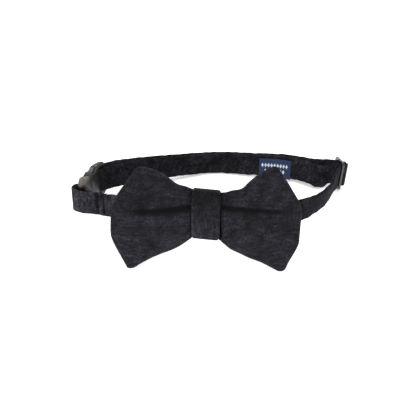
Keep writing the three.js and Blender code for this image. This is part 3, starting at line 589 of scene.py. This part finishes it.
def wing_plane(top, side, foot):
    """A wing's rings seen from the front, as a patch between its edges: the mix of its foot and top,
    plus the mix of its inner end and outer side, less the mix of its four corners."""
    u, w = wing_u[:, None, None], (bow_v[None, :, None] + 1) / 2
    inner, outer = mix(foot[0], top[0], w), mix(foot[-1], top[-1], w)
    top_edge, foot_edge = (outline(edge, wing_u)[:, None] for edge in (top, foot))
    side_edge = outline(side, (bow_v + 1) / 2)[None]
    return mix(foot_edge, top_edge, w) + mix(inner, side_edge, u) - mix(inner, outer, u)


def wing_edge(plane):
    """How far each point of a wing lies from the nearest of its top, its foot and its outer side."""
    edges = (plane[-1:], plane[:, :1], plane[:, BOW_SIDES:BOW_SIDES + 1])
    return np.min([np.linalg.norm(plane - edge, axis=-1) for edge in edges], axis=0)


left_plane = wing_plane(LEFT_TOP, LEFT_SIDE, LEFT_FOOT)[::-1]
right_plane = wing_plane(RIGHT_TOP, RIGHT_SIDE, RIGHT_FOOT)
gather_middle = -BAND_DROP - GATHER_X[:, None] * np.tan(np.radians(BAND_TURN_DEG + BAND_SLANT_DEG))
gather_z = gather_middle + GATHER_HEIGHT / 2 * bow_v
gather_plane = np.stack((GATHER_X[:, None] + 0 * gather_z, gather_z), axis=-1)
bow_x, bow_z = np.moveaxis(np.concatenate((left_plane, gather_plane, right_plane)), -1, 0)
bow_u = np.concatenate((wing_u[::-1], 0 * GATHER_X, wing_u))[:, None]
in_wing = np.repeat([1.0, 0.0, 1.0], [WING_RINGS, len(GATHER_X), WING_RINGS])[:, None]
from_edge = np.concatenate((wing_edge(left_plane[::-1])[::-1], 5 + 0 * gather_z, wing_edge(right_plane)))
seam_lens = np.sqrt(np.clip(1 - (1 - np.minimum((1 - bow_u) / SEAM_TURN, 1)) ** 2, 0, 1))
fullness = np.interp(bow_u, PUFF_AT, PUFF) * seam_lens + SEAM_EDGE * (1 - seam_lens)
swell = np.sign(bow_swell) * np.abs(bow_swell) ** WING_ROUNDNESS
wing_n = (seam_plane + WING_FLARE * (bow_x / BOW_HALF_WIDTH) ** 2
          + swell * fullness * np.where(bow_swell > 0, BOW_PUFF, BOW_BACK))
bow_n = mix(strap_clear + GATHER_DEPTH / 2 * (1 + bow_swell), wing_n, in_wing)
reach = np.abs(bow_x) / BOW_HALF_WIDTH
from_band = np.maximum(np.abs(bow_x) - BAND_WIDTH / 2, 0)


# The pleat: the upper cloth laps a little over the lower along a line that runs out from the band
PLEAT_X = (-52, -35, -27, -18, -10, 10, 27, 45)
PLEAT_Z = (2.4, 2.6, 3.4, 4.6, 5.2, 5.6, 5.0, 4.3)
PLEAT_FALL = (3.6, 4.4, 5.4, 5.6, 4.6, 4.4, 3.8, 3.0)
pleat_under = np.interp(bow_x, PLEAT_X, PLEAT_Z) - bow_z
pleat_fall = np.interp(bow_x, PLEAT_X, PLEAT_FALL)
front_share = np.clip(bow_swell, 0, 1) ** WING_ROUNDNESS * in_wing
pleat_fade = ease(from_band / 1.5) * (1 - ease((reach - 0.45) / 0.5)) * front_share
pleat = np.where(pleat_under > 0, bell(pleat_under, 0, pleat_fall), bell(pleat_under, 0, 1.9))
bow_n = bow_n - PLEAT_DEPTH * pleat * pleat_fade
# Small gathers that run out from the band: each has its height, its width and its depth in shares
GATHERS = ((-0.25, 0.07, 1), (-0.62, 0.06, 0.7), (0.7, 0.07, 0.6), (-0.43, 0.08, -0.5), (0.55, 0.06, -0.4))
gathers = sum(deep * bell(bow_v, height, wide) for height, wide, deep in GATHERS)
bow_n = bow_n - 0.45 * gathers * bell(reach, 0.2, 0.13) * front_share * ease(from_band / 2)
# Puckers along the outer seam
puckers = waves(bow_z + 0.6 * bow_x, (5.1, 6.7, 9.2), (0.2, 1.9, 3.3)) * np.exp(-from_edge / 4)
bow_n = bow_n + 0.28 * puckers * ease(from_edge / 2) * np.where(bow_swell > 0, 1, -1) * in_wing
# The right wing's cloth is pulled in under the band's lower half, and leaves a dark groove
groove_width = 0.7 + 1.5 * bell(bow_z, -14, 5)
groove = (np.exp(-(np.maximum(bow_x - 7.9, 0) / groove_width) ** 4) * ease((-2 - bow_z) / 5)
          * (bow_x > 0) * (bow_swell > 0) * in_wing)
bow_n = bow_n - 1.8 * groove
# Slow hollows in the filling: each has its place across and its width, its place up and its height,
# and its share of the depth
HOLLOWS = ((-37, 7, 9, 9, 1), (41, 8, -2, 7, 0.8), (-33, 6, -17, 6, 0.7), (30, 7, -20, 7, 0.6))
hollows = sum(deep * bell(bow_x, x, wide) * bell(bow_z, z, tall) for x, wide, z, tall, deep in HOLLOWS)
bow_n = bow_n - 0.8 * hollows * front_share
bow_grid = spot(knot_axes, bow_x, bow_n, bow_z)
# Painted light and shade: the lower half lighter, and painted shade under the pleat and beside the band
pleat_dark = ease((pleat_under + 0.6) / 1.1) * (1 - ease((pleat_under / pleat_fall - 0.45) / 0.75))
pleat_reach = (1 - ease((reach - 0.7) / 0.27)) * front_share
bow_painted_light = (1.0 - 0.2 * bow_v) * (1 - 0.95 * pleat_dark * pleat_reach) * (1 - 0.75 * bell(from_band, 0, 1.3))
# painted shade in the hollows and in the groove
bow_painted_light = bow_painted_light * (1 - 0.3 * hollows) * (1 - groove)
# painted highlights beside the groove and along the edges
beside_groove, along_edge = bell(bow_x, 11.6, 1.6) * bell(bow_z, -14, 6), bell(from_edge, 0, 0.7)
bow_painted_light = bow_painted_light + 0.3 * beside_groove + 0.5 * along_edge * (1 - groove)
bow_velvet = velvet("bow_velvet", (0.0117, 0.0112, 0.0148), (0.4, 1, 1.3))
velvet_bow = loops_to_piece("velvet_bow", bow_grid, bow_velvet)
set_shade(velvet_bow.data, "painted_light", bow_painted_light)
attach(velvet_bow, "root")
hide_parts("bow")


# The band. A strip of the same velvet, its long edges folded under, wrapped round the gathered bow
# and the strap and sewn closed at the back.
BAND_CORNERS, BAND_CROWN, BAND_SHOULDER, BAND_LEFT = (1.2, 2.4), 0.8, 1.25, 0.2
band_slant = np.tan(np.radians(BAND_SLANT_DEG))


def band_outline(grow):
    """The band's loop in outward and up, at a height in the cloth from 0, inside, to its thickness:
    straight sides joined by quadratic corners, wider at the front, with a crowned front."""
    crown = BAND_CROWN * grow / BAND_THICKNESS
    corner = mix(*BAND_CORNERS, grow / BAND_THICKNESS)
    front = strap_clear + GATHER_DEPTH + CLOTH_GAP + grow
    back = -strap_clear - grow
    high = GATHER_HEIGHT / 2 + CLOTH_GAP + grow
    low = STRAP_WIDTH / 2 + BAND_DROP + CLOTH_GAP + BAND_WIDTH / 2 * band_slant + grow
    shoulder = strap_clear + BAND_SHOULDER
    # each side from its start, with where it bends to and its number of points, down the back, along
    # the foot and up the front, and then the same flipped over the top
    starts = [(back, low - corner / 2), (back, corner / 2 - low), (back + corner / 2, -low - corner / 3),
              (shoulder - corner / 2, corner / 3 - high), (shoulder + corner / 2, -high),
              (front - corner, -high), (front, corner - high)]
    bends = [(back, 0), (back, -low), None, (shoulder, -high), None, (front, -high), (front + crown, 0)]
    counts = [10, 6, 5, 4, 4, 7, 22]
    starts += [(n, -z) for n, z in starts[:1:-1]]
    bends += [bend and (bend[0], -bend[1]) for bend in bends[-2:0:-1]]
    counts += counts[-2:0:-1]
    points = []
    for start, bend, end, count in zip(starts, bends, starts[1:] + starts[:1], counts):
        t = (np.arange(count) / count)[:, None]
        start, end = np.array(start), np.array(end)
        bend = (start + end) / 2 if bend is None else np.array(bend)
        points.append((1 - t) ** 2 * start + 2 * t * (1 - t) * bend + t * t * end)
    return np.concatenate(points)


# Round the cloth's section: across the width and back, with soft folded edges
edge_turn = np.linspace(-np.pi / 2, np.pi / 2, 7)
flat_half = BAND_WIDTH / 2 - BAND_SOFTNESS
across = np.linspace(-1, 1, 17)[1:-1] * flat_half
edge_x = flat_half + BAND_SOFTNESS * np.cos(edge_turn)
edge_g = BAND_THICKNESS / 2 * (1 + np.sin(edge_turn))
section_x = np.concatenate((edge_x, -across, -edge_x[::-1], across)) - BAND_LEFT
section_g = np.concatenate((edge_g, 0 * across + BAND_THICKNESS, edge_g[::-1], 0 * across))
band_loops = np.stack([band_outline(g) for g in section_g], axis=1)
over_the_end = ease((np.abs(band_loops[..., 1]) - GATHER_HEIGHT / 2 + 1) / 3)
band_x = section_x * (1 - 0.07 * over_the_end)
band_n, band_z = band_loops[..., 0], band_loops[..., 1]
on_front = ease((band_n - strap_clear - GATHER_DEPTH) / 2)
# Creases across its front: each has its fall, its height, its width and its share of the depth
CREASES = ((0.06, 1.2, 0.7, 1), (-0.1, -4.5, 0.9, 0.7), (0.12, 7.5, 0.8, 0.6))
creases = sum(deep * bell(band_z + fall * band_x, height, wide) for fall, height, wide, deep in CREASES)
hemmed_sides, full_middle = bell(np.abs(band_x), 7.2, 0.8), bell(band_x, 0, 6)
band_n = band_n - on_front * (0.16 * creases + 0.25 * hemmed_sides - 0.2 * full_middle)
turn = np.radians(BAND_TURN_DEG)
band_z = band_z - band_slant * band_x
band_grid = spot(knot_axes, band_x * np.cos(turn) + band_z * np.sin(turn), band_n,
                 band_z * np.cos(turn) - band_x * np.sin(turn) - BAND_DROP)
band_velvet = velvet("band_velvet", (0.0116, 0.011, 0.0146), (1.3, 1, 0.6))
closed_band = np.concatenate((band_grid, band_grid[:1]))
velvet_band = loops_to_piece("velvet_band", closed_band, band_velvet, capped=False)
# painted light and shade: darker towards the top, lighter towards the bottom, and a painted highlight along
# the front's folded left edge
band_painted_light = 0.97 - 0.62 * band_z / (GATHER_HEIGHT / 2) + 0.55 * bell(band_x, -8.4, 0.7) * on_front
set_shade(velvet_band.data, "painted_light", np.concatenate((band_painted_light, band_painted_light[:1])))
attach(velvet_band, "root")
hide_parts("knot_band")
# The whip stitches that close it at the back
whip_x = np.linspace(-7.4, 7.4, 13)
whip = [spot(knot_axes, whip_x + 0.35 * side, -strap_clear - BAND_THICKNESS, 1.1 * side - BAND_DROP)
        for side in (-1, 1)]
whip_rise = 0 * whip[0] - 0.35 * knot_axes["out"]
threads("band_stitches", *whip, whip_rise, STITCH_RADIUS, black_cotton)


# The buckle: a moulded side-release buckle of black plastic in two halves, a hollow socket and the
# prong half, whose two springy arms show in the socket's side windows.
SKIN_VOXEL, EDGE_THINNING, EDGE_AT, WIDER_MIDDLE, FAR_BEND = 0.0002, 0.46, 10.7, 0.09, 2.4
# Where the painted reflection on the rails begins up the width, and how far it takes to fade in
REFLECTION_FROM, REFLECTION_FADE = 6.5, 3


def moulded(name, roughness, grey, shine):
    """Black plastic from a polished mould: nearly even gloss with faint flow marks and fine scuffs, and
    a lighter brown-grey painted in where the piece's attribute says, a painted reflection on the rails."""
    material, tree, shader = new_material(name)
    place = added(tree, "TexCoord", {}).outputs["Object"]
    painted_reflection = added(tree, "Attribute", {}, attribute_name="painted_reflection").outputs["Fac"]
    flow_marks = mixed(tree, noise_ramp(tree, place, 90, 0, 1), (grey * 0.8, grey * 0.8, grey * 0.85, 1),
                       (grey * 1.2, grey * 1.18, grey * 1.2, 1))
    # the brown-grey mixed in is painted reflection, as much as the piece's attribute says
    feed(tree, shader, {
        "Base Color": mixed(tree, painted_reflection, flow_marks, (0.1, 0.092, 0.084, 1)),
        "Roughness": noise_ramp(tree, place, 220, roughness * 0.75, roughness * 1.35),
        "Specular IOR Level": shine, "Coat Weight": shine / 3, "Coat Roughness": 0.1})
    bumped(tree, shader, noise_ramp(tree, place, 900, 0, 1), 0.25, 0.00008)
    return material


def mesh_of(name, body):
    """The body as a mesh. The body is freed."""
    mesh = bpy.data.meshes.new(name)
    body.to_mesh(mesh)
    body.free()
    return mesh


def buckle_body(shape, middle, half):
    """A ball, a box, a pin through the buckle's thickness or a bar up its width: the middle and the
    half sizes along, inward and up in the buckle's axes."""
    body = bmesh.new()
    if shape == "ball":
        bmesh.ops.create_icosphere(body, subdivisions=4, radius=1)
    elif shape == "box":
        bmesh.ops.create_cube(body, size=2)
    else:
        bmesh.ops.create_cone(body, cap_ends=True, segments=64, radius1=1, radius2=1, depth=2)
    if shape == "pin":
        bmesh.ops.rotate(body, verts=body.verts, matrix=Matrix.Rotation(np.pi / 2, 3, "X"))
    mesh = mesh_of(shape, body)
    place_in_buckle(mesh, points_of(mesh) * half + middle)
    return mesh


def points_of(mesh):
    points = np.zeros(3 * len(mesh.vertices), np.float32)
    mesh.vertices.foreach_get("co", points)
    return points.reshape(-1, 3).astype(float)


def place_in_buckle(mesh, points):
    """Gives the mesh points that are set in the buckle's axes."""
    on_strap = spot(buckle_axes, points[:, 0], -points[:, 1], points[:, 2])
    mesh.vertices.foreach_set("co", on_floor(on_strap).astype(np.float32).ravel())
    mesh.update()


def with_modifiers(name, mesh, modifiers):
    """The mesh after these modifiers, each a type and its settings."""
    maker = in_scene(name, mesh)
    for kind, settings in modifiers:
        modifier = maker.modifiers.new(kind, kind)
        for key, value in settings.items():
            setattr(modifier, key, value)
    made = bpy.data.meshes.new_from_object(maker.evaluated_get(bpy.context.evaluated_depsgraph_get()))
    bpy.data.objects.remove(maker)
    return made


def off_floor(points):
    """Points in metres on the floor back in the collar's millimetres."""
    return (np.asarray(points, float) * 1000 - REST_SHIFT) @ turned(np.eye(3)).T


def moulded_half(name, node, material, reflection_share, cuts, additions):
    """One half of the buckle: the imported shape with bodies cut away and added, drawn again as a
    single skin with soft edges. Its cross section is then rounded like a pillow, thinner by the
    fourth power of the height towards the two long sides, and its far end bends in with the neck."""
    plain = bmesh.new()
    plain.from_mesh(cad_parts[node].data)
    bmesh.ops.remove_doubles(plain, verts=plain.verts, dist=2e-6)
    cutters = [in_scene("cutter", buckle_body(*cut)) for cut in cuts]
    cutting = [("BOOLEAN", {"operation": "DIFFERENCE", "object": cutter}) for cutter in cutters]
    mesh = with_modifiers(name, mesh_of(name, plain), cutting)
    for cutter in cutters:
        bpy.data.objects.remove(cutter)
    whole = bmesh.new()
    for body in (mesh, *[buckle_body(*addition) for addition in additions]):
        whole.from_mesh(body)
    mesh = with_modifiers(name, mesh_of(name, whole), [
        ("REMESH", {"mode": "VOXEL", "voxel_size": SKIN_VOXEL}),
        ("SMOOTH", {"factor": 0.6, "iterations": 7})])
    at = off_floor(points_of(mesh)) - buckle_axes["position"]
    x, y, z = at @ buckle_axes["along"], -at @ buckle_axes["out"], at @ buckle_axes["up"]
    thinner = 1 - EDGE_THINNING * np.minimum(np.abs(z) / EDGE_AT, 1) ** 4 * ease((11 - x) / 4)
    crowned = z * (1 + WIDER_MIDDLE * ease((x + 24) / 9) * ease((6 - x) / 8))
    bent = FAR_BEND * (np.maximum(-8 - x, 0) / 11) ** 2
    place_in_buckle(mesh, np.column_stack((x, 0.3 + (y - 0.3) * thinner + bent, crowned)))
    # painted reflection: the rails are painted a lighter brown-grey, as much as the half's share says
    set_shade(mesh, "painted_reflection", reflection_share * ease((np.abs(z) - REFLECTION_FROM) / REFLECTION_FADE))
    mesh.materials.clear()
    mesh.materials.append(material)
    mesh.shade_smooth()
    piece = in_scene(name, mesh)
    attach(piece, "root")
    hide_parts(node)
    return piece


socket_plastic = moulded("socket_plastic", 0.36, 0.008, 0.16)
prong_plastic = moulded("prong_plastic", 0.36, 0.008, 0.12)
# The socket's bar lies between rails that run on along the strap's edges, and round notches beside
# its side windows show the release buttons. The prong half has full, round rail ends.
release_x, socket_slot_x = -2.6, socket_bar_x + 3.4
socket_half = moulded_half(
    "buckle_socket_half", "buckle_socket", socket_plastic, 0.35,
    [("box", (socket_slot_x - 8, 0, 0), (8, 6, 8.1)),
     ("pin", (release_x, 0, 12.9), (4.9, 6, 4.9)), ("pin", (release_x, 0, -12.9), (4.9, 6, 4.9))],
    [("bar", (socket_bar_x, 0, 0), (1.2, 1.2, 9)), ("box", (socket_slot_x + 0.6, -1, 0), (0.6, 2.6, 9))])
prong_half = moulded_half(
    "buckle_prong_half", "buckle_prong", prong_plastic, 1.0,
    [("box", (socket_slot_x - 4, 0, 0), (5.8, 6, 12))],
    [("ball", (release_x, -1, side * 9.3), (3.9, 2.0, 1.8)) for side in (-1, 1)]
    + [("ball", (14.4, 0.1, side * 7.0), (5.4, 2.7, 4.7)) for side in (-1, 1)])


# The slider: a moulded three-bar frame of the same glossy plastic. The strap's end is sewn round
# its middle bar, and the strap comes up through one slot and goes down through the other.
slider_plastic = moulded("slider_plastic", 0.18, 0.01, 0.65)
slider_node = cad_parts["slider"]
slider_node.data.materials.clear()
slider_node.data.materials.append(slider_plastic)


# The label: a short piece of navy satin tape, laid on the strap's inner face and sewn down along its
# two short ends. The real label's ends are folded under; here the tape is drawn flat to its ends.
LABEL_LENGTH, LABEL_HEIGHT, LABEL_THICKNESS, LABEL_FROM_SLIDER = 23.3, 13.2, 0.6, 27.6
LABEL_DROP, LABEL_TURN_DEG, LABEL_ROWS = 1.4, 0.6, 45
RIB_PITCH_TURN, LOZENGE_PITCH, LOZENGE_HEIGHT, LOZENGE_SIZE = 14.0, 2.1, 3.6, 0.43
# Each row of lozenges: its height from the tape's middle, and where it starts and ends along it
LOZENGE_ROWS = ((2.0, 2.1, 21.0), (-2.1, 4.2, 18.9))
NAVY_DARK, NAVY_LIGHT = (0.0045, 0.0115, 0.037, 1), (0.018, 0.037, 0.1, 1)
LOZENGE_PALE = (0.5, 0.53, 0.6, 1)
LABEL_STITCHES, LABEL_STITCH_SET_IN, LABEL_STITCH, LABEL_STITCH_RADIUS = 9, 0.8, 0.8, 0.14


def label_drop(s):
    """How far the label's middle lies below the strap's, s from the slider: its own drop, the inner
    ply's slip, and a slight turn about its middle."""
    before_middle = LABEL_FROM_SLIDER + LABEL_LENGTH / 2 - s
    return LABEL_DROP + inner_drop(s) + before_middle * np.tan(np.radians(LABEL_TURN_DEG))


label_depth = -(full_pair + STRAP_THICKNESS / 2 + CLOTH_GAP + LABEL_THICKNESS / 2)
label_s = LABEL_FROM_SLIDER + np.linspace(0, LABEL_LENGTH, LABEL_ROWS)
label_rows = ply(axes_at(back_run, label_s), 0, label_depth, -label_drop(label_s), LABEL_THICKNESS)
label_grid, label_u, label_v = tape_grid(label_rows, LABEL_HEIGHT)


def woven_satin(name):
    """Navy satin weave in the tape's own millimetres: fine ribs across it, a finer grain of threads,
    and two rows of small pale lozenges woven in."""
    material, tree, shader = new_material(name)
    place = added(tree, "UVMap", {}).outputs["UV"]
    split = added(tree, "SeparateXYZ", {"Vector": place})
    along, across = split.outputs["X"], split.outputs["Y"]

    def number(operation, *inputs):
        return added(tree, "Math", dict(enumerate(inputs)), operation=operation).outputs[0]

    ribs = number("MULTIPLY_ADD", number("SINE", number("MULTIPLY", across, RIB_PITCH_TURN)), 0.5, 0.5)
    lozenges = 0.0
    for row_z, first, last in LOZENGE_ROWS:
        turn_share = number("FRACT", number("DIVIDE", along, LOZENGE_PITCH))
        side = number("ABSOLUTE", number("SUBTRACT", turn_share, 0.5))
        height = number("ABSOLUTE", number("DIVIDE", number("SUBTRACT", across, row_z), LOZENGE_HEIGHT))
        inside = number("LESS_THAN", number("ADD", side, height), LOZENGE_SIZE)
        within = number("MULTIPLY", number("GREATER_THAN", along, first), number("LESS_THAN", along, last))
        lozenges = number("MAXIMUM", number("MULTIPLY", inside, within), lozenges)
    grain = number("MULTIPLY", noise_ramp(tree, place, 2.6, 0, 1), 0.5)
    ground = mixed(tree, number("MULTIPLY_ADD", ribs, 0.5, grain), NAVY_DARK, NAVY_LIGHT)
    feed(tree, shader, {"Base Color": mixed(tree, lozenges, ground, LOZENGE_PALE), "Roughness": 0.6,
                        "Specular IOR Level": 0.25})
    bumped(tree, shader, ribs, 0.4, 0.0001)
    return material


label_satin = woven_satin("label_satin")
woven_label = loops_to_piece("woven_label_tape", label_grid, label_satin)
label_uv = woven_label.data.uv_layers.new(name="UVMap")
corner_points = np.zeros(len(woven_label.data.loops), int)
woven_label.data.loops.foreach_get("vertex_index", corner_points)
label_uv.data.foreach_set("uv", np.column_stack((label_u.ravel(), label_v.ravel()))[corner_points].ravel())
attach(woven_label, "root")
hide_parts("woven_label")
label_ends = np.repeat([LABEL_STITCH_SET_IN, LABEL_LENGTH - LABEL_STITCH_SET_IN], LABEL_STITCHES)
end_s = LABEL_FROM_SLIDER + label_ends
end_axes = axes_at(back_run, end_s)
end_z = np.tile(np.linspace(-5.6, 4.4, LABEL_STITCHES), 2) - label_drop(end_s)
stitch_n = label_depth - LABEL_THICKNESS / 2
stitch_from, stitch_to = (spot(end_axes, 0, stitch_n, end_z + dz) for dz in (0, LABEL_STITCH))
blue_cotton = cotton("blue_cotton", (0.02, 0.035, 0.08), (0.07, 0.1, 0.18))
label_stitches = threads("label_stitches", stitch_from, stitch_to, -0.2 * end_axes["out"],
                         LABEL_STITCH_RADIUS, blue_cotton)


# The floor, the light and the camera: a pale table, a broad soft light overhead and to the front,
# and a 70 mm lens about half a metre from the bow.
floor_mesh = bpy.data.meshes.new("pale_floor")
FLOOR_REACH = 40.0
floor_corners = [(x * FLOOR_REACH, y * FLOOR_REACH, 0) for x, y in ((-1, -1), (1, -1), (1, 1), (-1, 1))]
floor_mesh.from_pydata(floor_corners, [], [(0, 1, 2, 3)])
floor = in_scene("pale_floor", floor_mesh)
floor_paint, floor_tree, floor_shader = new_material("pale_paint")
feed(floor_tree, floor_shader, {
    "Base Color": (0.9, 0.9, 0.9, 1), "Roughness": 0.7, "Specular IOR Level": 0.1,
    "Emission Color": (1, 1, 1, 1), "Emission Strength": 0.4})
floor_mesh.materials.append(floor_paint)

scene = bpy.context.scene
world = scene.world or bpy.data.worlds.new("studio")
scene.world = world
world.use_nodes = True
feed(world.node_tree, world.node_tree.nodes["Background"], {"Color": (1, 1, 1, 1), "Strength": 0.55})


def soft_light(name, place, target, size, watts):
    lamp = bpy.data.lights.new(name, "AREA")
    lamp.shape, lamp.size, lamp.energy = "DISK", size, watts
    holder = in_scene(name, lamp)
    holder.location = place
    holder.rotation_mode = "QUATERNION"
    holder.rotation_quaternion = (Vector(place) - Vector(target)).to_track_quat("Z", "Y")


soft_light("overhead", (0.1, 0.1, 0.9), (0, 0, 0.03), 0.9, 9)
soft_light("front", (-0.35, -0.8, 0.55), (0, 0, 0.03), 0.6, 5)

# Where the knot is, and how far the camera stands from it to its own right, up and back
KNOT_POINT, CAMERA_FROM_KNOT, CAMERA_ELEVATION_DEG = (0, -8.6, 0), (0.666, 3.937, 490), 24
elevation = np.radians(CAMERA_ELEVATION_DEG)
camera_back = (0, -np.cos(elevation), np.sin(elevation))
camera_axes = np.array([(1, 0, 0), np.cross(camera_back, (1, 0, 0)), camera_back])
camera_data = bpy.data.cameras.new("camera")
camera_data.lens, camera_data.sensor_width = 70, 36
camera_data.clip_start, camera_data.clip_end = 0.01, 20
camera = in_scene("camera", camera_data)
placing = np.eye(4)
placing[:3, :3] = turned(camera_axes).T
placing[:3, 3] = on_floor(KNOT_POINT + CAMERA_FROM_KNOT @ camera_axes)
camera.matrix_world = Matrix(placing.tolist())
scene.camera = camera
scene.view_settings.view_transform = "Standard"

bpy.context.view_layer.update()
